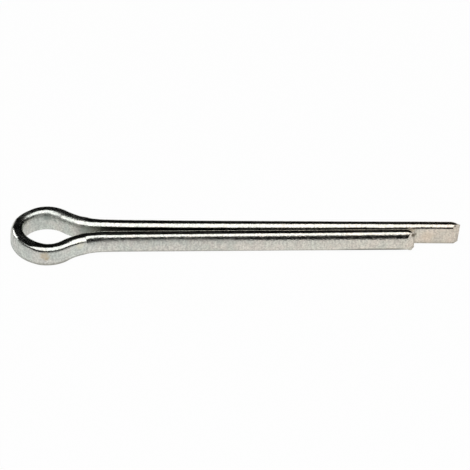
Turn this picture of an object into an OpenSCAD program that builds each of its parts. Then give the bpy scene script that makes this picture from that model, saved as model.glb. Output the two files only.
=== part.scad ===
// Cotter pin, also called a split pin: one length of rolled wire, bent round into an eye and folded
// back on itself as two legs. It lies flat on its side, as it comes to rest. +X runs from the eye to
// the leg ends, +Z is up through the eye, and the legs lie on each side of the plane Y = 0, the long
// one towards +Y. The origin is the middle of the underside of the pin's box.

/* [Wire] */
// Width of the wire, across its flat inner face
wire_w = 5.6; // [5:0.05:6.5]
// Thickness of the wire, square to the flat inner face
wire_t = 2.65; // [2.55:0.01:3.2]
// Rounding of the two edges beside the flat inner face
inner_edge_r = 1.05; // [0.4:0.05:1.15]
// Rounding of the outer edges round the eye
eye_edge_r = 1.3; // [0.5:0.05:1.4]
// Rounding of the outer edges of the legs, which a die has pressed
leg_edge_r = 1.25; // [0.7:0.05:1.4]
// Radius of the crown that the die leaves on the outer face of the legs
leg_crown_r = 10; // [7:0.5:16]
// How far the die presses the outer face of the legs below that of the eye
press_depth = 0.05; // [0.02:0.01:0.1]

/* [Eye] */
// Width of the opening in the eye
eye_in_w = 10; // [8.8:0.1:11.6]
// Inside radius of the bend at the nose of the eye
nose_r = 2.4; // [1.5:0.1:3.5]
// How far the nose bend turns to each side of the middle
nose_turn = 16; // [10:0.5:30]
// Angle at which the sides of the eye run in to the neck
neck_turn = 35.5; // [30:0.5:42]
// How much of the neck bend the die leaves alone, before the pressed part starts
press_start = 0.55; // [0.3:0.01:0.8]
// Step all round where the straight legs leave the neck, at the end of the bending tool
tool_step = 0.02; // [0.02:0.01:0.06]

/* [Legs] */
// Gap between the legs where they leave the neck
neck_gap = 1.35; // [0.6:0.05:2.2]
// Gap between the legs at the end of the short one
tip_gap = 0.1; // [0.06:0.01:0.4]
// Length of the short leg, from the end of the neck bend
short_leg = 71.85; // [40:0.05:120]
// How far the long leg runs on past the short one
overhang = 10.3; // [3:0.1:18]

/* [Cut ends] */
// Length over which the end of the short leg is rounded off
short_end_run = 1.4; // [1.2:0.05:2]
// Length over which the end of the long leg is rounded off
long_end_run = 2.2; // [1.2:0.05:2.6]
// How deep the rounding of an end cuts into the top and the underside
end_depth = 1; // [0.3:0.05:1.05]
// How deep the rounding of an end cuts into the inner and outer faces
end_side_depth = 0.75; // [0.2:0.05:0.9]
// Angle at which the rounding breaks away from each face
end_break = 4; // [2:0.5:8]
// Lean of the sheared ends away from square
cut_lean = 7; // [0:0.5:8]

/* [Hidden] */
$fn = 96;
over = 1; // how far a cutting outline runs past what it cuts
let_in = 0.3; // how far a straight leg runs back into the neck
pressed_t = wire_t - press_depth;

// One half of the plan is a chain of tangent arcs, drawn along the flat inner face: nose, side and
// neck. Each is set by the heading at its ends, which is 90 degrees at the nose, falls to -neck_turn
// where the side meets the neck, and comes back to -close_turn along the leg.
half_in_w = eye_in_w / 2;
nose_end = 90 - nose_turn;
close_turn = round(asin((neck_gap - tip_gap) / 2 / short_leg) * 1000) / 1000;
side_r = (half_in_w - nose_r * sin(nose_turn)) / (1 - sin(nose_turn));
side_y = half_in_w - side_r;
neck_r = (side_y + side_r * cos(neck_turn) - neck_gap / 2) / (cos(close_turn) - cos(neck_turn));
press_turn = round((close_turn + (neck_turn - close_turn) * (1 - press_start)) * 1000) / 1000;

// Arc centres and the start of the leg, along X from the inner face at the nose
side_x = nose_r + (side_r - nose_r) * sin(nose_end);
neck_x = side_x + (side_r + neck_r) * sin(neck_turn);
neck_y = side_y + (side_r + neck_r) * cos(neck_turn);
leg_x = neck_x - neck_r * sin(close_turn);
leg_y = neck_y - neck_r * cos(close_turn);
long_leg = short_leg + overhang;

// The pin's box along X
box_start = -wire_t;
box_end = leg_x + long_leg * cos(close_turn) + (wire_w / 2 - end_depth) * tan(cut_lean);

// Moves its children to p in two steps, a rounded one and the small rest, so that six-figure numbers
// still bring the ends of neighbouring arcs together exactly
module place(p) {
    coarse = [for (v = p) round(v * 1000) / 1000];
    translate(coarse) translate(p - coarse) children();
}

// Sections of the wire, of width w and thickness t: X is the distance from the flat inner face and
// Y is the height. Their flat inner side reaches out to where the outer corners start.
module flat_side(w, reach) {
    for (z = [inner_edge_r, w - inner_edge_r]) translate([inner_edge_r, z]) circle(inner_edge_r);
    translate([0, inner_edge_r]) square([reach, w - 2 * inner_edge_r]);
    translate([inner_edge_r, 0]) square([reach - inner_edge_r, w]);
}

module eye_section() {
    corner_x = wire_t - eye_edge_r;
    flat_side(wire_w, corner_x);
    for (z = [eye_edge_r, wire_w - eye_edge_r]) translate([corner_x, z]) circle(eye_edge_r);
    translate([corner_x, eye_edge_r]) square([eye_edge_r, wire_w - 2 * eye_edge_r]);
}

// The outer corners are arcs that run into the crown without an edge
module pressed_section(w, t) {
    crown_x = t - leg_crown_r;
    crown_to_corner = leg_crown_r - leg_edge_r;
    corner_z = w / 2 - leg_edge_r;
    corner_x = crown_x + sqrt(crown_to_corner * crown_to_corner - corner_z * corner_z);
    crown_half = corner_z * leg_crown_r / crown_to_corner;
    flat_side(w, corner_x);
    for (z = [leg_edge_r, w - leg_edge_r]) place([corner_x, z]) circle(leg_edge_r);
    intersection() {
        translate([crown_x, w / 2]) circle(leg_crown_r);
        translate([inner_edge_r, w / 2 - crown_half]) square([t, 2 * crown_half]);
    }
}

// What the die presses away from the eye's section to leave that of the neck
module pressed_away() {
    difference() {
        translate([inner_edge_r, -over]) square([wire_t, wire_w + 2 * over]);
        pressed_section(wire_w, pressed_t);
    }
}

// Corner between a face and the cut end of a bar, taken off by an arc. The bar runs along X to its
// end at X = run, with the face on Y = 0.
module end_corner(height, run, depth) {
    round_r = sqrt(run * run + depth * depth) / 2 / sin(atan(depth / run) - end_break);
    difference() {
        translate([0, -over]) square([run + over, over + min(height / 2, round_r * cos(end_break))]);
        translate(round_r * [-sin(end_break), cos(end_break)]) circle(round_r);
    }
}

// Both corners at the end of a bar, which lies along X with the middle of its cut end on X = 0. The
// end leans forward by the given slope.
module end_corners(height, run, depth, slope) {
    shift = slope * (height / 2 - depth);
    translate([-shift - run, 0]) end_corner(height, run, depth);
    translate([shift - run, height]) mirror([0, 1]) end_corner(height, run, depth);
}

// What the shears take off beyond the leaning end of a leg, seen from the side
module sheared_off() {
    reach = (wire_w / 2 + over) * tan(cut_lean);
    polygon([[-reach, -over], [2 * over, -over], [2 * over, wire_w + over], [reach, wire_w + over]]);
}

// A bend round the Z axis whose inner face is at radius r, on the inside or the outside of the wire
module bend(r, start, turn) {
    rotate_extrude(angle = turn, start = start) place([r, 0]) children();
}

module neck() {
    difference() {
        bend(neck_r, -90 - neck_turn, neck_turn - close_turn) mirror([1, 0]) eye_section();
        bend(neck_r, -90 - press_turn, press_turn) mirror([1, 0]) pressed_away();
    }
}

// A leg along +X with its inner face on Y = 0, rounded off at its sheared end
module leg(length, run) {
    difference() {
        translate([-let_in, 0, 0]) rotate([90, 0, 90]) linear_extrude(let_in + length + over / 2)
            translate([tool_step, tool_step])
                pressed_section(wire_w - 2 * tool_step, pressed_t - 2 * tool_step);
        translate([length, wire_t + over, 0]) rotate([90, 0, 0]) linear_extrude(wire_t + 2 * over) {
            sheared_off();
            end_corners(wire_w, run, end_depth, tan(cut_lean));
        }
        translate([length, 0, -over]) linear_extrude(wire_w + 2 * over)
            end_corners(wire_t, run, end_side_depth, 0);
    }
}

// The half of the pin towards +Y: one side of the eye, the neck and a leg
module half(length, run) {
    place([side_x, side_y]) bend(side_r, 90 - neck_turn, nose_end + neck_turn) eye_section();
    place([neck_x, neck_y]) neck();
    translate([leg_x, leg_y, 0]) rotate(-close_turn) leg(length, run);
}

module cotter_pin() color("silver") translate([-(box_start + box_end) / 2, 0, 0]) {
    translate([nose_r, 0]) bend(nose_r, 180 - nose_turn, 2 * nose_turn) eye_section();
    half(long_leg, long_end_run);
    mirror([0, 1]) half(short_leg, short_end_run);
}

cotter_pin();
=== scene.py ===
import math

import bmesh
import bpy
import numpy as np
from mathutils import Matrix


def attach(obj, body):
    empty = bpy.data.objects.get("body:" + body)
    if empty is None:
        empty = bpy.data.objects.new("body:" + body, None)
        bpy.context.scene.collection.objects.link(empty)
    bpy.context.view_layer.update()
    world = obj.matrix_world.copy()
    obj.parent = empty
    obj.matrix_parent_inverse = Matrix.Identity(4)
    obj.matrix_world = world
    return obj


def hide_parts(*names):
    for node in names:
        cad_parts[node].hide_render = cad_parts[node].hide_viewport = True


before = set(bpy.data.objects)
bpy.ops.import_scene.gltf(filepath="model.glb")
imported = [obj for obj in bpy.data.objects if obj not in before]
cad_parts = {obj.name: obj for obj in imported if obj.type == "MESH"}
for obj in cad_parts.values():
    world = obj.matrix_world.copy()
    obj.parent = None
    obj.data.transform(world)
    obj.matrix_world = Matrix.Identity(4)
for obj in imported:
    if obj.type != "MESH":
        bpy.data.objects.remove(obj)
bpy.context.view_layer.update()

MM = 0.001

# --- Sections of the wire ---------------------------------------------------------------------------
WIRE_W = 5.6  # width of the wire, which stands on edge
WIRE_T = 2.7  # thickness of the wire, taken over the whole pin


def even(r):
    """A corner of one radius all round."""
    return [(30, r), (60, r), (90, r)]


# A section has a thickness, a crown on its outer face and four corners. A corner is three arcs, each
# (angle, radius), from the top or the underside towards a face; the angle is how far the outline has
# turned by the arc's end. The far ones are those of the long half, which lies at the back (+Y), and the
# near ones are those of the short half, at the front.
TOP_IN = even(0.95)
LOW_IN = even(0.9)
EYE_LOW_OUT = [(50, 1.05), (72, 1.5), (88, 1.6)]
LEG_LOW_OUT = [(50, 1.0), (70, 2.0), (84, 3.0)]
SECTIONS = {
    "nose": dict(
        thick=2.64, crown=0.02, low_in=even(0.5), low_out=EYE_LOW_OUT,
        top_in=TOP_IN, top_out=[(50, 1.3), (72, 1.45), (86, 1.6)]),
    "far rim": dict(
        thick=2.63, crown=0.02, low_in=even(0.5), low_out=EYE_LOW_OUT,
        top_in=[(50, 1.0), (72, 1.6), (86, 2.8)], top_out=[(50, 0.8), (72, 1.1), (86, 1.4)]),
    "far neck": dict(
        thick=2.66, crown=0.02, low_in=even(0.6), low_out=EYE_LOW_OUT,
        top_in=[(50, 1.15), (72, 1.5), (86, 2.2)], top_out=[(50, 0.95), (72, 1.2), (86, 1.5)]),
    "far leg": dict(
        thick=2.72, crown=0.03, low_in=LOW_IN, low_out=LEG_LOW_OUT,
        top_in=[(38, 1.0), (52, 1.6), (90, 0.35)], top_out=[(50, 0.95), (70, 2.7), (84, 3.8)]),
    "far tip": dict(
        thick=2.68, crown=0.03, low_in=even(0.8), low_out=LEG_LOW_OUT,
        top_in=[(45, 0.92), (70, 1.2), (90, 0.8)], top_out=[(50, 0.95), (70, 2.5), (84, 3.5)]),
    "near shoulder": dict(
        thick=2.64, crown=0.02, low_in=LOW_IN, low_out=EYE_LOW_OUT,
        top_in=TOP_IN, top_out=[(14, 1.6), (50, 0.18), (86, 1.2)]),
    "near rim": dict(
        thick=2.64, crown=0.02, low_in=LOW_IN, low_out=[(50, 0.9), (72, 1.2), (88, 1.3)],
        top_in=TOP_IN, top_out=[(50, 1.1), (72, 1.5), (86, 1.8)]),
    "near neck": dict(
        thick=2.66, crown=0.02, low_in=LOW_IN, low_out=[(50, 1.3), (72, 1.5), (88, 1.6)],
        top_in=TOP_IN, top_out=[(50, 1.45), (72, 1.3), (86, 1.2)]),
    "near mark": dict(
        thick=2.78, crown=0.03, low_in=LOW_IN, low_out=[(50, 1.35), (70, 2.0), (84, 3.0)],
        top_in=TOP_IN, top_out=[(50, 0.56), (70, 4.9), (84, 3.8)]),
    "near leg": dict(
        thick=2.77, crown=0.03, low_in=LOW_IN, low_out=[(50, 1.55), (70, 2.0), (84, 3.0)],
        top_in=TOP_IN, top_out=[(50, 0.72), (70, 3.3), (84, 3.8)]),
    "near shank": dict(
        thick=2.80, crown=0.03, low_in=LOW_IN, low_out=[(50, 1.8), (70, 2.0), (84, 3.0)],
        top_in=TOP_IN, top_out=[(50, 0.76), (70, 4.0), (84, 3.8)]),
}
ARC_STEPS = 5  # steps in each arc of a corner
# Points between corners: along the flat top and underside, down the outer face and up the inner one
FLAT_POINTS = 3
OUTER_POINTS = 9
INNER_POINTS = 5

# --- The flat inner face seen from above ------------------------------------------------------------
# One half of the plan, drawn as in the solid: the nose, side and neck arcs, each tangent to the next,
# and a straight leg. Angles are in degrees.
NOSE_X = -49.4657  # X of the inner face at the nose
NOSE_R = 2.4  # inside radius at the nose
NOSE_TURN = 16.0  # how far the nose arc turns to each side of the middle
EYE_IN_W = 10.0  # width of the opening in the eye
NECK_TURN = 35.5  # angle at which the side of the eye runs in to the neck
NECK_GAP = 1.35  # gap between the legs where they leave the neck
CLOSE_TURN = 0.498  # angle at which each leg closes on the other

# --- The two halves ---------------------------------------------------------------------------------
# Each half runs from the middle of the nose to the end of its leg. Its rows start with the distance s
# along the wire from the nose: the side of the eye ends at 12.1, the die starts to press at 17.7, and
# the leg starts at 22.7. Values change evenly from row to row.
#   side, leg   the side of Y that it lies on, and the length of its leg
#   sections    (s, section)
#   warp        (s, lean, sink, spread out, spread in): how far the top leans outward and how far it
#               sinks, and how far the wire spreads on its outer side and, at the top, on its inner side
#   satin       (s, top, turn in, turn out, inner face): how dull the rounded top is, the angles down the
#               inner and the outer corner at which the dull faces begin, and how dull the inner one is
#   gap_shade   (s, share): how strong the painted shade between the legs is on the inner face, which
#               starts at the angle gap_shade_from down its top corner
#   foot        (s, share, top in, top out): how strong the painted shade along the foot is, and up to what
#               height on its inner and its outer side
#   end_shade_line  how strong the painted shade line round the end is, just inside its edge
#   lean        how much longer the end is at the top than at the bottom, for each mm of height
#   slant       how much shorter the end is at its front than at its back
#   cuts        what the shears took at the end, as (length, depth, curve): off the top, off the
#               underside (low), off the inner and outer sides, off the top's back corner, and off the
#               inner side again as a wedge that narrows the whole section
NO_CUT = (1, 0, 1)
LONG = dict(
    side=1,
    leg=82.202,
    sections=[
        (0, "nose"), (4, "far rim"), (8.5, "far rim"), (11, "far neck"), (17, "far neck"),
        (20.4, "far leg"), (86, "far leg"), (96, "far tip"), (110, "far tip")],
    warp=[
        (0, -0.15, 0.05, 0, 0.25), (2.2, 0, 0, 0, 0.20), (3.8, 0, 0, -0.20, 0.20),
        (5, 0, 0, -0.24, 0.25), (6.8, 0.02, 0, -0.05, 0.22), (8.4, 0.05, 0, -0.02, 0.25),
        (10, 0.05, 0, 0, 0.70), (12, 0.05, 0, -0.08, 1.02), (14, 0.05, 0, -0.05, 0.84),
        (16, 0, 0, 0, 0.75), (17, 0, 0, 0.10, 0.65), (18, 0, 0, 0.25, 0.50), (20.4, 0, 0, 0.55, 0),
        (22.7, 0, 0, 0.47, -0.06), (27.4, 0, 0, 0.33, 0.08), (40, 0, 0, 0.20, 0.14),
        (54, 0, 0, 0.20, 0.08), (68, 0, 0, 0.21, -0.01), (82, 0, 0, 0.21, -0.14),
        (90, 0, 0, 0.27, -0.10), (98, 0, 0, 0.31, -0.1), (110, 0, 0, 0.31, -0.1)],
    satin=[
        (0, 0, 50, 60, 1), (3.4, 0.4, 56, 50, 1.1), (4.6, 0.5, 56, 50, 1.2), (5.2, 0.2, 54, 50, 1.2),
        (5.8, 0.12, 36, 50, 1.4), (7, 0.12, 38, 60, 1.3), (9, 0.15, 42, 60, 1.3),
        (10.5, 0.28, 34, 60, 1.5), (16, 0.3, 34, 60, 1.5), (18, 0.12, 48, 66, 0.9),
        (20.4, 0, 66, 70, 0.4), (24, 0, 68, 70, 0.1), (90, 0, 68, 70, 0.1), (92.5, 0, 66, 70, 1),
        (110, 0, 68, 70, 1)],
    gap_shade_from=62,
    gap_shade=[
        (0, 0), (15.8, 0), (16.8, 0.24), (18, 0.28), (22, 0.6), (30, 1), (91.2, 1), (92.6, 0),
        (110, 0)],
    foot=[(0, 0.55, 0.5, 1.4), (90, 0.55, 0.5, 1.4), (93, 0.8, 0.9, 1.4), (110, 0.8, 0.9, 1.4)],
    end_shade_line=0.2,
    lean=0.125,
    slant=0.3,
    cuts=dict(
        top=(0.5, 0.15, 1.0), low=(1.9, 1.0, 1.5), inner=(1.45, 1.2, 0.25), outer=(0.5, 0.25, 1.0),
        back=(2.2, 2.1, 1.9), wedge=NO_CUT))
SHORT = dict(
    side=-1,
    leg=71.852,
    sections=[
        (0, "nose"), (2.0, "nose"), (2.9, "near shoulder"), (5.5, "near shoulder"), (7.4, "near rim"),
        (11, "near rim"), (14, "near neck"), (17.62, "near neck"), (17.74, "near mark"),
        (21, "near mark"), (27, "near leg"), (40, "near leg"), (65, "near shank"),
        (110, "near shank")],
    warp=[
        (0, -0.15, 0.05, 0, 0.25), (2.2, -0.10, 0.10, 0, 0.30), (3.7, -0.05, 0.15, 0, 0.42),
        (5, 0, 0.20, 0, 0.54), (6.8, 0, 0.25, 0, 0.43), (8.4, 0, 0.27, 0, 0.20),
        (10, 0.02, 0.27, 0, 0.15), (12, 0.10, 0.20, 0, 0.25), (14, 0.18, 0.15, 0, 0.28),
        (16, 0.28, 0.10, 0, 0.35), (18, 0.55, 0.05, 0, 0.78), (20.4, 0.74, 0.04, 0, 0.76),
        (22.7, 0.70, 0.04, 0, 0.80), (27.4, 0.46, 0.03, 0, 0.52), (40, 0.38, 0.02, 0, 0.41),
        (54, 0.36, 0.02, 0, 0.43), (68, 0.38, 0.01, 0, 0.32), (82, 0.31, 0, 0, 0.30),
        (89, 0.23, 0, 0, 0.14), (110, 0.15, 0, 0, 0.12)],
    satin=[
        (0, 0, 50, 60, 1), (1.0, 0.05, 50, 60, 1), (2.2, 0.15, 50, 35, 1), (5, 0.15, 50, 45, 1),
        (6, 0, 50, 58, 1), (8, 0, 50, 58, 1), (11, 0, 50, 50, 1), (13.6, 0, 50, 48, 1),
        (14.3, 0, 50, 62, 1), (15.2, 0, 50, 56, 1), (16.6, 0, 56, 44, 0.8), (17.6, 0.05, 60, 42, 0.5),
        (17.7, 0.05, 60, 60, 0.5), (24, 0.12, 60, 54, 0.1), (45, 0.12, 60, 52, 0.1),
        (60, 0.05, 60, 66, 0.1), (110, 0, 60, 70, 0.1)],
    gap_shade_from=20,
    gap_shade=[
        (0, 0), (17, 0), (24, 0.45), (40, 0.55), (75, 0.7), (86, 1), (92.6, 1), (93.4, 0), (110, 0)],
    foot=[
        (0, 0.55, 0.5, 1.4), (74, 0.55, 0.5, 1.4), (82, 1, 0.5, 1.7), (91, 1, 0.5, 1.7),
        (92.5, 0.3, 0.5, 1.6), (110, 0.3, 0.5, 1.6)],
    end_shade_line=0.6,
    lean=0.06,
    slant=0.2,
    cuts=dict(
        top=(0.5, 0.15, 1.0), low=(2.2, 1.9, 2.6), inner=(0.5, 0.05, 1.0), outer=(1.65, 1.7, 0.6),
        back=(1.6, 0.3, 1.0), wedge=(1.55, 1.5, 1.0)))

END_EDGE = 0.12  # rounding of the edge of a cut end
END_EDGE_STEPS = 4
END_FACE_RINGS = (0.85, 0.7, 0.55, 0.4, 0.2, 0.0)  # sizes of the rings that close a cut end
END_ZONE = 5.0  # length over which a leg takes up the lean and slant of its end
SIDE_CUT_AT_FOOT = 0.25  # how much of the cut off a side is left at the foot
SATIN_BLEND = 20  # angle over which the bright corner turns into the dull face
FOOT_FADE = 0.5  # height over which the painted shade along the foot fades
END_SHADE_AT = 0.22  # how far from the end the painted shade line runs round it
END_SHADE_REACH = 0.18  # how far that line fades to each side
TINY_STEP = 1e-9  # less than any real step between points
WELD_DISTANCE = 1e-7  # how close points are to become one, in metres

# Where rings stand, as (s, step from there on), and for the end the same by the length that is left
RING_STEPS = [(0, 0.12), (12, 0.16), (17.4, 0.25), (17.6, 0.03), (17.8, 0.03), (18.4, 0.25), (23, 0.4)]
END_RING_STEPS = [(3, 0.4), (2, 0.06), (0, 0.06)]


def half_plan():
    """The arcs of one half as (centre, radius, heading at the start, heading at the end), and the start
    of its leg. Headings are in degrees and lengths are rounded to 0.001 mm. The neck turns the other
    way, so its radius is negative."""
    nose_turn = math.radians(NOSE_TURN)
    neck_turn = math.radians(NECK_TURN)
    close_turn = math.radians(CLOSE_TURN)
    side_r = (EYE_IN_W / 2 - NOSE_R * math.sin(nose_turn)) / (1 - math.sin(nose_turn))
    side_x = NOSE_X + NOSE_R + (side_r - NOSE_R) * math.cos(nose_turn)
    side_y = EYE_IN_W / 2 - side_r
    run_in = side_y + side_r * math.cos(neck_turn) - NECK_GAP / 2
    neck_r = run_in / (math.cos(close_turn) - math.cos(neck_turn))
    neck_x = side_x + (side_r + neck_r) * math.sin(neck_turn)
    neck_y = side_y + (side_r + neck_r) * math.cos(neck_turn)
    leg_x = neck_x - neck_r * math.sin(close_turn)
    leg_y = neck_y - neck_r * math.cos(close_turn)

    def rounded_arc(x, y, r, start, end):
        return (round(x, 3), round(y, 3)), round(r, 3), start, end

    arcs = [rounded_arc(NOSE_X + NOSE_R, 0, NOSE_R, 90, 90 - NOSE_TURN),
            rounded_arc(side_x, side_y, side_r, 90 - NOSE_TURN, -NECK_TURN),
            rounded_arc(neck_x, neck_y, -neck_r, -NECK_TURN, -CLOSE_TURN)]
    return arcs, (round(leg_x, 3), round(leg_y, 3))


ARCS, LEG_START = half_plan()


def arc_length(arc):
    _, r, start, end = arc
    return abs(r) * math.radians(abs(end - start))


BENT_LENGTH = round(sum(arc_length(arc) for arc in ARCS), 3)


def along(s):
    """Point on the inner face and heading in radians, at s, for the half towards +Y."""
    for arc in ARCS:
        if s <= arc_length(arc):
            (x, y), r, start, _ = arc
            heading = math.radians(start) - s / r
            return x - r * math.sin(heading), y + r * math.cos(heading), heading
        s -= arc_length(arc)
    heading = -math.radians(CLOSE_TURN)
    return LEG_START[0] + s * math.cos(heading), LEG_START[1] + s * math.sin(heading), heading


def turned(corner):
    """A quarter turn from heading outward to heading down, as offsets from its start."""
    at = np.zeros(2)
    points = [at]
    start = 0.0
    for angle, r in corner:
        end = math.radians(angle)
        for a in np.linspace(start, end, ARC_STEPS + 1)[1:]:
            points.append(at + r * np.array([math.sin(a) - math.sin(start), math.cos(a) - math.cos(start)]))
        at = points[-1]
        start = end
    return np.array(points)


def between(a, b, count):
    """So many points spread evenly between two others."""
    share = np.linspace(0, 1, count + 2)[1:-1, None]
    return a + (b - a) * share


def section(thick, crown, top_in, top_out, low_in, low_out):
    """Closed outline of the wire: column 0 is the distance out from the inner face, column 1 is z.
    It starts at the foot of the top inner corner and goes over the top and down the outer face."""
    def inner(corner):
        fall = turned(corner)
        return (fall * [-1, 1])[::-1] + [fall[-1][0], WIRE_W]

    def outer(corner):
        fall = turned(corner)
        return fall + [thick - crown - fall[-1][0], WIRE_W]

    def flipped(corner):
        return corner[::-1] * [1, -1] + [0, WIRE_W]

    top_in, top_out = inner(top_in), outer(top_out)
    low_in, low_out = flipped(inner(low_in)), flipped(outer(low_out))
    z0, z1 = top_out[-1][1], low_out[0][1]
    face_z = np.linspace(z0, z1, OUTER_POINTS + 2)[1:-1]
    face_x = thick - crown * ((2 * face_z - z0 - z1) / (z0 - z1)) ** 2
    return np.vstack([
        top_in, between(top_in[-1], top_out[0], FLAT_POINTS),
        top_out, np.column_stack([face_x, face_z]),
        low_out, between(low_out[-1], low_in[0], FLAT_POINTS),
        low_in, between(low_in[-1], top_in[0], INNER_POINTS)])


OUTLINES = {name: section(**sizes) for name, sizes in SECTIONS.items()}


def outline_at(s, sections):
    """The wire's outline at s, mixed smoothly from the sections on each side of it."""
    at = [start for start, _ in sections]
    i = min(max(int(np.searchsorted(at, s)) - 1, 0), len(at) - 2)
    share = (s - at[i]) / (at[i + 1] - at[i])
    share = share * share * (3 - 2 * share)
    return OUTLINES[sections[i][1]] * (1 - share) + OUTLINES[sections[i + 1][1]] * share


def row_at(s, rows):
    """The values of a table's row at s, between the rows that it has."""
    at, *columns = zip(*rows)
    return [np.interp(s, at, column) for column in columns]


def warped(outline, s, warp):
    """The outline as the bending and the die left it."""
    lean, sink, spread_out, spread_in = row_at(s, warp)
    up = outline[:, 1] / WIRE_W
    out = outline[:, 0] / outline[:, 0].max()
    shift = lean * up + spread_out * out - spread_in * (1 - out) ** 2 * up
    return np.column_stack([outline[:, 0] + shift, outline[:, 1] - sink * up ** 2])


def backward(outline, half):
    """0 at the side towards the front of the pin (-Y) and 1 at its back."""
    out = np.clip(outline[:, 0] / WIRE_T, 0, 1)
    return out if half["side"] > 0 else 1 - out


def cut(outline, left, half):
    """Takes the end's cuts off an outline, with so much length left; those off the sides are deeper at
    the top."""
    def depth(name):
        length, deepest, curve = half["cuts"][name]
        return deepest * max(0.0, 1 - left / length) ** curve

    up = outline[:, 1] / WIRE_W
    x = outline[:, 0]
    z = outline[:, 1] - depth("back") * (backward(outline, half) * up) ** 2
    x = x + depth("wedge") * (x.max() - x) / (x.max() - x.min())
    side_share = SIDE_CUT_AT_FOOT + (1 - SIDE_CUT_AT_FOOT) * up ** 2
    x = np.clip(x, x.min() + depth("inner") * side_share, x.max() - depth("outer") * side_share)
    z = np.clip(z, z.min() + depth("low"), z.max() - depth("top"))
    return np.column_stack([x, z])


def stations(length):
    """Where rings stand along a half, closer together at the die's mark and towards the end."""
    steps = RING_STEPS + [(length - left, step) for left, step in END_RING_STEPS]
    at = []
    for (s0, step), (s1, _) in zip(steps, steps[1:]):
        at += list(np.linspace(s0, s1, max(1, int(round((s1 - s0) / step))), endpoint=False))
    return at


def swept_outlines(half, length):
    """(outline, s) from the nose to where the edge of the cut end begins."""
    outlines = []
    for s in stations(length - END_EDGE):
        outline = warped(outline_at(s, half["sections"]), s, half["warp"])
        outlines.append((cut(outline, length - s, half), s))
    return outlines


def end_outlines(last, length):
    """(outline, s) round the edge of the cut end and in to its middle, made from the last outline."""
    middle = (last.min(0) + last.max(0)) / 2
    size = (last.max(0) - last.min(0)) / 2
    outlines = []
    for a in np.radians(np.linspace(0, 90, END_EDGE_STEPS + 1))[1:]:
        shrink = 1 - END_EDGE * (1 - math.cos(a)) / size
        outlines.append((middle + (last - middle) * shrink, length - END_EDGE * (1 - math.sin(a))))
    face = outlines[-1][0]
    for share in END_FACE_RINGS:
        outlines.append((middle + (face - middle) * share, length))
    return outlines


def set_out(outline, s, half, length):
    """The outline's points in space. Near the end they take up its lean and slant."""
    x, y, heading = along(s)
    normal = np.array([-math.sin(heading), math.cos(heading)])
    plan = np.array([x, y]) + outline[:, :1] * normal
    near = min(1.0, max(0.0, 1 - (length - s) / END_ZONE)) ** 2
    lean = near * half["lean"] * (outline[:, 1] - WIRE_W / 2)
    slant = near * half["slant"] * (1 - backward(outline, half))
    return np.column_stack([plan[:, 0] + lean - slant, half["side"] * plan[:, 1], outline[:, 1]])


def steepness(outline):
    """Angle of the outline to the level, in degrees, at each of its points. Points that a cut brought
    together count as level."""
    step = np.abs(np.roll(outline, -1, 0) - np.roll(outline, 1, 0))
    return np.degrees(np.arctan2(step[:, 1], step[:, 0] + TINY_STEP))


def face_share(outline, start):
    """0 on the rounded top and underside and 1 on the faces, which begin at that angle."""
    share = np.clip((steepness(outline) - start) / SATIN_BLEND, 0, 1)
    return share * share * (3 - 2 * share)


def dullness(outline, s, half, inward):
    """The faces are duller than the rounded top, and less of the corner shines in the eye than where the
    die pressed the legs."""
    top, turn_in, turn_out, inner_face = row_at(s, half["satin"])
    face = np.maximum(np.where(inward, inner_face, 1.0), top)
    return top + (face - top) * face_share(outline, np.where(inward, turn_in, turn_out))


# Painted shade between the legs: darkens the inner face below the angle at which it starts down its top
# corner
def gap_shade_at(outline, s, half, inward):
    [share] = row_at(s, half["gap_shade"])
    return share * face_share(outline, half["gap_shade_from"]) * inward


def foot_and_end_shade(outline, s, half, inward, left):
    """Painted shade along the foot, and a painted shade line round the end."""
    share, top_in, top_out = row_at(s, half["foot"])
    top = np.where(inward, top_in, top_out)
    foot = share * np.clip((top - outline[:, 1]) / FOOT_FADE, 0, 1)
    end = half["end_shade_line"] * max(0.0, 1 - abs(left - END_SHADE_AT) / END_SHADE_REACH)
    return np.maximum(foot, end)


def finish_at(outline, s, half, length):
    """How dull the metal is at the outline's points, and how strong its painted shade is between the legs,
    along the foot and round the end. The cut end is all dull.
    """
    inward = outline[:, 0] < WIRE_T / 2
    on_end = s > length - END_EDGE
    dull = np.ones(len(outline)) if on_end else dullness(outline, s, half, inward)
    return dull, gap_shade_at(outline, s, half, inward), foot_and_end_shade(outline, s, half, inward, length - s)


def half_rings(half):
    """(points, dull, painted shade between the legs, painted shade along the foot and round the end) for
    each ring from the nose to the middle of the cut end.
    """
    length = BENT_LENGTH + half["leg"]
    outlines = swept_outlines(half, length)
    outlines += end_outlines(outlines[-1][0], length)
    return [(set_out(outline, s, half, length), *finish_at(outline, s, half, length))
            for outline, s in outlines]


def pin_mesh():
    """The pin's skin, from the end of the long leg round the eye to the end of the short one."""
    points, dull, gap_shade, foot = zip(*(half_rings(LONG)[::-1] + half_rings(SHORT)[1:]))
    count = len(points[0])
    faces = []
    for ring in range(len(points) - 1):
        here = ring * count
        after = here + count
        for i in range(count):
            j = (i + 1) % count
            faces.append((here + i, here + j, after + j, after + i))
    mesh = bpy.data.meshes.new("pin")
    mesh.from_pydata((np.vstack(points) * MM).tolist(), [], faces)
    # Attributes: the dullness, the painted shade between the legs, and the painted shade along the foot and
    # round the end
    for name, values in (("satin", dull), ("gap_shade", gap_shade), ("foot", foot)):
        mesh.attributes.new(name, "FLOAT", "POINT").data.foreach_set("value", np.concatenate(values))
    weld(mesh)
    mesh.shade_smooth()
    return mesh


def weld(mesh):
    """Closes the middle of each cut end to a point and turns every face outward."""
    bm = bmesh.new()
    bm.from_mesh(mesh)
    bmesh.ops.remove_doubles(bm, verts=bm.verts, dist=WELD_DISTANCE)
    bmesh.ops.recalc_face_normals(bm, faces=bm.faces)
    bm.to_mesh(mesh)
    bm.free()


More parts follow.
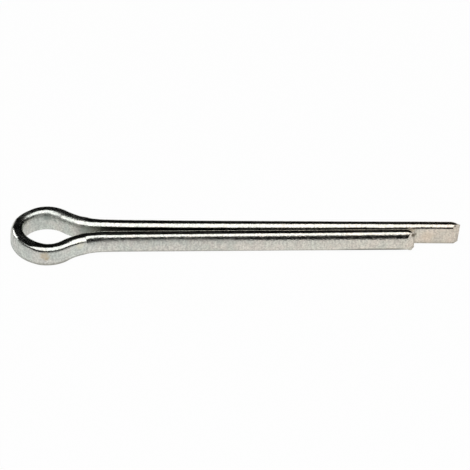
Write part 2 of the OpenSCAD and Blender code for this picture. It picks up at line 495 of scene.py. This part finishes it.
# --- The finish -------------------------------------------------------------------------------------
# Colours of the plating, as (X, colour). The stop at -37.5 is lighter than its neighbours as painted light,
# brightening the eye where it runs in to the neck
PLATING = [
    (-52, (0.705, 0.720, 0.690)), (-43, (0.715, 0.730, 0.700)), (-37.5, (0.785, 0.800, 0.765)),
    (-26, (0.745, 0.750, 0.710)), (10, (0.805, 0.785, 0.730)), (36, (0.815, 0.785, 0.715)),
    (48, (0.835, 0.760, 0.670))]
# Noises: how many grains there are in a millimetre, how fine their detail is, and how much closer
# together they lie along each axis
CLOUDS = dict(per_mm=0.30, detail=3.0)
GRAIN = dict(per_mm=2.2, detail=3.0)
UPRIGHT_MARKS = dict(per_mm=1.6, detail=2.0, stretch=(1.2, 1.2, 0.16))
SPOT_EDGES = dict(per_mm=1.2, detail=3.0)
PATCHES = dict(per_mm=0.8, detail=3.0)
FINE_RELIEF = dict(per_mm=2.6, detail=2.0)
LONG_WAVES = dict(per_mm=0.22, detail=1.0, stretch=(0.7, 1, 1))
DRAWING_LINES = dict(per_mm=5.0, detail=1.0, stretch=(0.04, 1, 1))
# What tints the plating: a noise, the span of it that counts, and the tints of its low and high places
TINTS = [
    dict(noise=CLOUDS, span=(0.35, 0.65), low=(0.96, 0.985, 0.96), high=(1.04, 1.01, 0.98)),
    dict(noise=GRAIN, span=(0.30, 0.70), low=(0.80, 0.80, 0.80), high=(1.13, 1.13, 1.13)),
    dict(noise=UPRIGHT_MARKS, span=(0.30, 0.70), low=(0.93, 0.92, 0.93), high=(1.06, 1.06, 1.05))]
# Stains, and spots of painted shadow and painted dark reflection, as (middle, radius, how strong, colour)
STAINS_AND_SHADE = [
    # Brown, on the outer face of the eye
    ((-43.7, -7.6, 2.7), 0.70, 0.55, (0.45, 0.32, 0.17)),
    ((-44.1, -7.6, 3.6), 1.60, 0.60, (0.66, 0.54, 0.36)),
    # Pale, where the eye runs in to the neck
    ((-36.0, -4.6, 4.3), 1.60, 0.45, (0.92, 0.88, 0.70)),
    # Grey and green, on the inner face of the eye and in the neck; the first two are painted dark
    # reflection on the inner face of the far side of the eye
    ((-43.5, 5.0, 4.1), 1.50, 0.60, (0.27, 0.33, 0.30)),
    ((-41.4, 5.0, 4.3), 1.40, 0.60, (0.27, 0.33, 0.30)),
    ((-48.6, 3.1, 3.0), 1.00, 0.45, (0.58, 0.54, 0.40)),
    ((-34.6, 1.3, 3.6), 2.20, 0.40, (0.27, 0.36, 0.31)),
    # Painted shadow, dark, round the end of the short leg and in the corner it makes with the long leg
    ((40.1, -1.20, 5.55), 0.45, 0.90, (0.05, 0.045, 0.04)),
    ((40.5, -1.55, 5.55), 0.50, 0.90, (0.05, 0.045, 0.04)),
    ((41.2, -1.85, 4.75), 0.70, 0.90, (0.12, 0.09, 0.06)),
    ((41.65, 0.15, 3.3), 0.50, 0.60, (0.14, 0.10, 0.07)),
    # Dark and brown, where the long leg runs past the short one and at its end
    ((51.0, 0.65, 5.2), 0.45, 0.80, (0.10, 0.09, 0.08)),
    ((51.95, 0.3, 5.2), 0.45, 0.80, (0.10, 0.09, 0.08)),
    ((51.6, 0.1, 2.4), 0.90, 0.45, (0.37, 0.33, 0.28)),
    ((41.0, 0.2, 1.2), 0.90, 0.50, (0.48, 0.37, 0.25)),
    ((44.5, 0.2, 2.6), 2.20, 0.35, (0.86, 0.70, 0.52)),
]
# In radii of a spot: how far noise pushes its edge out of place, how far it is full, and where it ends
SPOT_RAGGED, SPOT_FULL, SPOT_END = 0.9, 0.7, 1.5
# Colour of the painted shade along the foot and round the end
FOOT_SHADE_COLOUR = (0.20, 0.19, 0.15)
# Colour of the painted shade between the legs, on their inner faces
GAP_SHADE_COLOUR = (0.030, 0.0275, 0.0265)
BRIGHT_ROUGHNESS = 0.17
DULL_ROUGHNESS = 0.24  # what full dullness adds to it
PATCHES_SPAN = (0.30, 0.70)
PATCHES_ROUGHNESS = (-0.03, 0.05)  # what patches add to it, least and most
RELIEF = 0.036  # height of the relief in mm, for each unit of its pattern
WAVE_HEIGHT = 1.6  # height of the long waves, against the fine relief's
LINE_HEIGHT = 0.15  # height of the drawing lines, against the fine relief's


class Tree:
    """Adds nodes to a material or world. A value for a socket is a number, a colour, a vector or another
    node's socket."""

    def __init__(self, owner):
        owner.use_nodes = True
        self.nodes = owner.node_tree.nodes
        self.links = owner.node_tree.links

    def put(self, socket, value):
        if isinstance(value, bpy.types.NodeSocket):
            self.links.new(value, socket)
        elif value is not None:
            socket.default_value = (*value, 1) if socket.type == "RGBA" else value

    def add(self, kind, out=0, sockets=(), **settings):
        """A node of that kind, of which it gives one output."""
        node = self.nodes.new("ShaderNode" + kind)
        for name, value in settings.items():
            setattr(node, name, value)
        for name, value in dict(sockets).items():
            self.put(node.inputs[name], value)
        return node.outputs[out]

    def math(self, operation, a, b=None, c=None):
        return self.add("Math", operation=operation, sockets={0: a, 1: b, 2: c})

    def span(self, value, a, b, low=0.0, high=1.0):
        """Value carried from a..b to low..high, smoothly, and held there."""
        return self.add("MapRange", interpolation_type="SMOOTHSTEP", sockets={
            "Value": value, "From Min": a, "From Max": b, "To Min": low, "To Max": high})

    def mix(self, share, a, b, how="MIX"):
        """Colour a turned into colour b by a share, or into both multiplied."""
        node = self.nodes.new("ShaderNodeMix")
        node.data_type = "RGBA"
        node.blend_type = how
        inputs = {socket.identifier: socket for socket in node.inputs}
        self.put(inputs["Factor_Float"], share)
        self.put(inputs["A_Color"], a)
        self.put(inputs["B_Color"], b)
        return next(socket for socket in node.outputs if socket.identifier == "Result_Color")

    def noise(self, where, per_mm, detail, stretch=(1, 1, 1)):
        """Noise from about 0.25 to 0.75 with so many grains in a millimetre."""
        scale = tuple(per_mm / MM * k for k in stretch)
        moved = self.add("Mapping", sockets={"Vector": where, "Scale": scale})
        return self.add("TexNoise", sockets={"Vector": moved, "Scale": 1.0, "Detail": detail})

    def attribute(self, name):
        return self.add("Attribute", "Fac", attribute_name=name)


def plain_plating(tree, where):
    """The plating's colour as it drifts along the pin, with painted light round X -37.5, where the eye runs
    in to the neck.
    """
    x = tree.add("SeparateXYZ", "X", {"Vector": where})
    first, last = PLATING[0][0], PLATING[-1][0]
    share = tree.add("MapRange", sockets={"Value": x, "From Min": first * MM, "From Max": last * MM})
    ramp = tree.nodes.new("ShaderNodeValToRGB")
    tree.put(ramp.inputs["Fac"], share)
    stops = ramp.color_ramp.elements
    for i, (at, rgb) in enumerate(PLATING):
        stop = stops[i] if i < 2 else stops.new(1.0)
        stop.position = (at - first) / (last - first)
        stop.color = (*rgb, 1)
    return ramp.outputs["Color"]


def tinted(tree, where, colour):
    """The colour with its clouds, grain and rolling marks."""
    for tint in TINTS:
        share = tree.span(tree.noise(where, **tint["noise"]), *tint["span"])
        low = tree.mix(1.0, colour, tint["low"], "MULTIPLY")
        high = tree.mix(1.0, colour, tint["high"], "MULTIPLY")
        colour = tree.mix(share, low, high)
    return colour


def stained_and_shaded(tree, where, colour):
    """The colour with its ragged stains and its ragged spots of painted shadow and painted dark reflection.
    """
    ragged = tree.noise(where, **SPOT_EDGES)
    for middle, radius, strength, rgb in STAINS_AND_SHADE:
        r = radius * MM
        far = tree.add("VectorMath", "Value", operation="DISTANCE",
                       sockets={0: where, 1: tuple(k * MM for k in middle)})
        far = tree.math("MULTIPLY_ADD", ragged, r * SPOT_RAGGED, far)
        share = tree.span(far, r * SPOT_FULL, r * SPOT_END, strength, 0.0)
        colour = tree.mix(share, colour, rgb)
    return colour


def plating_colour(tree, where):
    colour = stained_and_shaded(tree, where, tinted(tree, where, plain_plating(tree, where)))
    # Painted shade along the foot and round the end
    colour = tree.mix(tree.attribute("foot"), colour, FOOT_SHADE_COLOUR)
    # Painted shade between the legs
    return tree.mix(tree.attribute("gap_shade"), colour, GAP_SHADE_COLOUR)


def roughness(tree, where):
    """Smooth where the top is bright, rough on the dull faces, and a little patchy."""
    patches = tree.span(tree.noise(where, **PATCHES), *PATCHES_SPAN, *PATCHES_ROUGHNESS)
    dull = tree.math("MULTIPLY_ADD", tree.attribute("satin"), DULL_ROUGHNESS, BRIGHT_ROUGHNESS)
    return tree.math("ADD", dull, patches)


def relief(tree, where):
    """Fine grain, long waves and faint drawing lines, as a bump."""
    height = tree.noise(where, **FINE_RELIEF)
    height = tree.math("MULTIPLY_ADD", tree.noise(where, **LONG_WAVES), WAVE_HEIGHT, height)
    height = tree.math("MULTIPLY_ADD", tree.noise(where, **DRAWING_LINES), LINE_HEIGHT, height)
    return tree.add("Bump", sockets={"Strength": 1.0, "Distance": RELIEF * MM, "Height": height})


def metal():
    """Bright zinc plate on rolled steel wire."""
    mat = bpy.data.materials.new("zinc_plate")
    tree = Tree(mat)
    where = tree.add("TexCoord", "Object")
    shader = tree.nodes["Principled BSDF"].inputs
    shader["Metallic"].default_value = 1.0
    tree.put(shader["Base Color"], plating_colour(tree, where))
    tree.put(shader["Roughness"], roughness(tree, where))
    tree.put(shader["Normal"], relief(tree, where))
    return mat


# --- The studio, with its lengths in metres ---------------------------------------------------------
TABLE_REACH = 8.0
TABLE_COLOUR = (0.92, 0.92, 0.92, 1)
TABLE_ROUGHNESS = 0.9
FLAG_REACH = 3.0
FLAG_HEIGHT = 3.0
FLAG_FOOT = 0.002  # gap between the table and the flags
FLAG_COLOUR = (0.01, 0.01, 0.01, 1)
FLAG_ROUGHNESS = 1.0
# The rays that show the background directly, in a reflection and through glass, and how far each of them
# sees the table lifted to plain white
SHOWING_RAYS = ("Is Camera Ray", "Is Glossy Ray", "Is Transmission Ray")
TABLE_LIFT = (0.97, 0.5, 0.94)
# Softboxes, turned from facing down by so many degrees about each axis. The big one hangs over the
# table, a little to the front, and shows as the white bands along the pin. The small one stands at the
# back left and shows as the streak on the nose.
SOFTBOXES = {
    "softbox": dict(
        shape="ELLIPSE", at=(0.1, -0.468, 1.0), size=(2.2, 1.624), turn=(0, 0, 0), radiance=1.5),
    "softbox_side": dict(
        shape="RECTANGLE", at=(-1.205, 0.602, 0.513), size=(0.64, 0.54), turn=(68.5, 0, -117.5),
        radiance=2.6),
}


def table_material():
    """A white table that light falls on as usual. Rays that show it also see it lifted towards plain
    white, and its shadow stays, though fainter."""
    mat = bpy.data.materials.new("white_table")
    tree = Tree(mat)
    bsdf = tree.nodes["Principled BSDF"]
    bsdf.inputs["Base Color"].default_value = TABLE_COLOUR
    bsdf.inputs["Roughness"].default_value = TABLE_ROUGHNESS
    lift = 0.0
    for ray, share in zip(SHOWING_RAYS, TABLE_LIFT):
        lift = tree.math("MULTIPLY_ADD", tree.add("LightPath", ray), share, lift)
    glow = tree.add("Emission", sockets={"Strength": 1.0})
    shown = tree.add("MixShader", sockets={0: lift, 1: bsdf.outputs[0], 2: glow})
    tree.put(tree.nodes["Material Output"].inputs["Surface"], shown)
    return mat


def flag_material():
    mat = bpy.data.materials.new("black_flag")
    shader = Tree(mat).nodes["Principled BSDF"].inputs
    shader["Base Color"].default_value = FLAG_COLOUR
    shader["Roughness"].default_value = FLAG_ROUGHNESS
    return mat


def stage_object(name, corners, faces, mat):
    mesh = bpy.data.meshes.new(name)
    mesh.from_pydata(corners, [], faces)
    mesh.materials.append(mat)
    obj = bpy.data.objects.new(name, mesh)
    bpy.context.scene.collection.objects.link(obj)
    return obj


def square_corners(reach, z):
    return [(-reach, -reach, z), (reach, -reach, z), (reach, reach, z), (-reach, reach, z)]


def make_table():
    stage_object("table", square_corners(TABLE_REACH, 0), [(0, 1, 2, 3)], table_material())


def make_flags():
    """Black flags round and over the table, which only reflections and bounced light see."""
    corners = square_corners(FLAG_REACH, FLAG_FOOT) + square_corners(FLAG_REACH, FLAG_HEIGHT)
    faces = [(0, 1, 5, 4), (1, 2, 6, 5), (2, 3, 7, 6), (3, 0, 4, 7), (4, 5, 6, 7)]
    flags = stage_object("flags", corners, faces, flag_material())
    flags.visible_camera = False
    flags.visible_transmission = False


def make_softbox(name, shape, at, size, turn, radiance):
    data = bpy.data.lights.new(name, "AREA")
    data.shape = shape
    data.size, data.size_y = size
    area = size[0] * size[1] * (math.pi / 4 if shape == "ELLIPSE" else 1)
    data.energy = radiance * math.pi * area
    lamp = bpy.data.objects.new(name, data)
    lamp.location = at
    lamp.rotation_euler = [math.radians(angle) for angle in turn]
    bpy.context.scene.collection.objects.link(lamp)


def make_world():
    """White where a ray shows it directly, in a reflection or through glass, and dark otherwise."""
    world = bpy.data.worlds.new("studio")
    bpy.context.scene.world = world
    tree = Tree(world)
    camera, glossy, transmission = (tree.add("LightPath", ray) for ray in SHOWING_RAYS)
    shown = tree.math("MAXIMUM", tree.math("MAXIMUM", camera, glossy), transmission)
    background = tree.nodes["Background"].inputs
    background["Color"].default_value = (1, 1, 1, 1)
    tree.put(background["Strength"], shown)


# --- The camera -------------------------------------------------------------------------------------
CAMERA_ELEVATION = 43.0  # degrees
CAMERA_AIM = (-0.046, 0.342, 2.8)  # the point in the middle of its view
FRAME_WIDTH = 108.85  # width of its view at that point
LENS = 1500.0
SENSOR = 36.0
CLIP_START, CLIP_END = 0.1, 50  # metres


def make_camera():
    data = bpy.data.cameras.new("camera")
    data.sensor_width = SENSOR
    data.lens = LENS
    data.clip_start, data.clip_end = CLIP_START, CLIP_END
    camera = bpy.data.objects.new("camera", data)
    bpy.context.scene.collection.objects.link(camera)
    distance = FRAME_WIDTH * LENS / SENSOR
    elevation = math.radians(CAMERA_ELEVATION)
    x, y, z = CAMERA_AIM
    camera.location = (
        x * MM, (y - distance * math.cos(elevation)) * MM, (z + distance * math.sin(elevation)) * MM)
    camera.rotation_euler = (math.radians(90) - elevation, 0, 0)
    bpy.context.scene.camera = camera


pin = bpy.data.objects.new("pin", pin_mesh())
bpy.context.scene.collection.objects.link(pin)
pin.data.materials.append(metal())
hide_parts("cotter_pin")
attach(pin, "root")

make_table()
make_flags()
for name, softbox in SOFTBOXES.items():
    make_softbox(name, **softbox)
make_camera()
make_world()
bpy.context.scene.view_settings.view_transform = "Standard"
